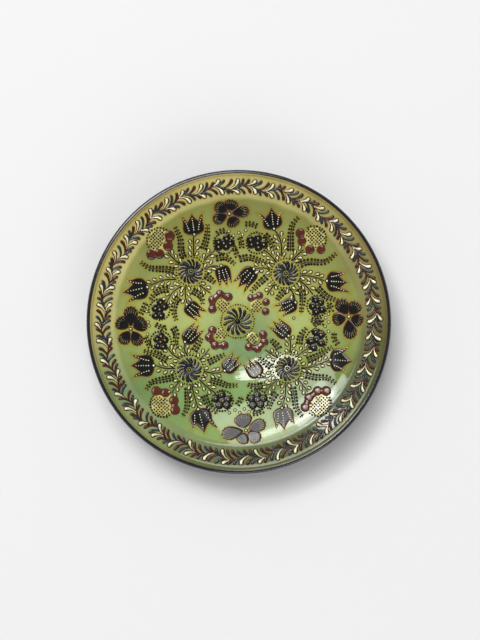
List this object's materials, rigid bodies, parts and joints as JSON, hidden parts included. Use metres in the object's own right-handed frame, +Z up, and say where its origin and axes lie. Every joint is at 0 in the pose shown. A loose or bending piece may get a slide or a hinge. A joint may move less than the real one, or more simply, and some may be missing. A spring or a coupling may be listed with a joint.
{
  "type": "decorated serving plate",
  "caption": "Round wide-rimmed ceramic plate on a turned foot ring, with raised slip flowers, tulips, berries and wheels in the well and a leafy garland on the flange.",
  "frame": {"origin": "middle of the foot ring's resting face", "axes": "+Z up out of the well, +Y towards the motif drawn at the top of the plate, +X to the right seen from above"},
  "size_m": [0.3198, 0.3198, 0.0369],
  "materials": {
    "green_glaze": "clear gloss glaze over an olive green ground, warmer on the flange",
    "black_rim": "glossy blue-black glaze, thin and brown at its inner edge",
    "dark_slip": "raised near-black slip under clear glaze, brown where it thins",
    "brown_slip": "raised red-brown slip under clear glaze",
    "blue_slip": "raised blue-black slip under clear glaze",
    "cream_slip": "raised cream slip dots and drops under clear glaze",
    "bare_clay": "unglazed fired red clay on the resting face of the foot ring"
  },
  "bodies": {
    "root": {"plate_body": "green_glaze", "rim_band": "black_rim", "garland_1": "brown_slip", "garland_2": "brown_slip", "garland_3": "brown_slip", "garland_4": "brown_slip", "garland_5": "brown_slip", "garland_6": "brown_slip", "garland_7": "brown_slip", "garland_8": "brown_slip", "centre_rosette": "dark_slip", "wheel_north_west": "dark_slip", "wheel_north_east": "dark_slip", "wheel_south_west": "dark_slip", "wheel_south_east": "dark_slip", "tulip_outer_north_west_top": "dark_slip", "tulip_outer_north_west_side": "dark_slip", "tulip_outer_north_east_top": "dark_slip", "tulip_outer_north_east_side": "dark_slip", "tulip_outer_south_west_top": "dark_slip", "tulip_outer_south_west_side": "dark_slip", "tulip_outer_south_east_top": "dark_slip", "tulip_outer_south_east_side": "dark_slip", "tulip_inner_north_west": "dark_slip", "tulip_inner_north_east": "dark_slip", "tulip_inner_west_upper": "dark_slip", "tulip_inner_west_lower": "dark_slip", "tulip_inner_east_upper": "dark_slip", "tulip_inner_east_lower": "dark_slip", "tulip_inner_south_west": "dark_slip", "tulip_inner_south_east": "dark_slip", "flower_north": "dark_slip", "flower_east": "dark_slip", "flower_south": "dark_slip", "flower_west": "dark_slip", "star_north_west": "blue_slip", "star_north_east": "blue_slip", "star_west_upper": "blue_slip", "star_west_lower": "blue_slip", "star_east_upper": "blue_slip", "star_east_lower": "blue_slip", "star_south_west": "blue_slip", "star_south_east": "blue_slip", "berries_inner_north_west": "brown_slip", "berries_inner_north_east": "brown_slip", "berries_inner_south_west": "brown_slip", "berries_inner_south_east": "brown_slip", "berries_outer_north_west": "brown_slip", "berries_outer_north_east": "brown_slip", "berries_outer_south_west": "brown_slip", "berries_outer_south_east": "brown_slip"}
  },
  "joints": []
}
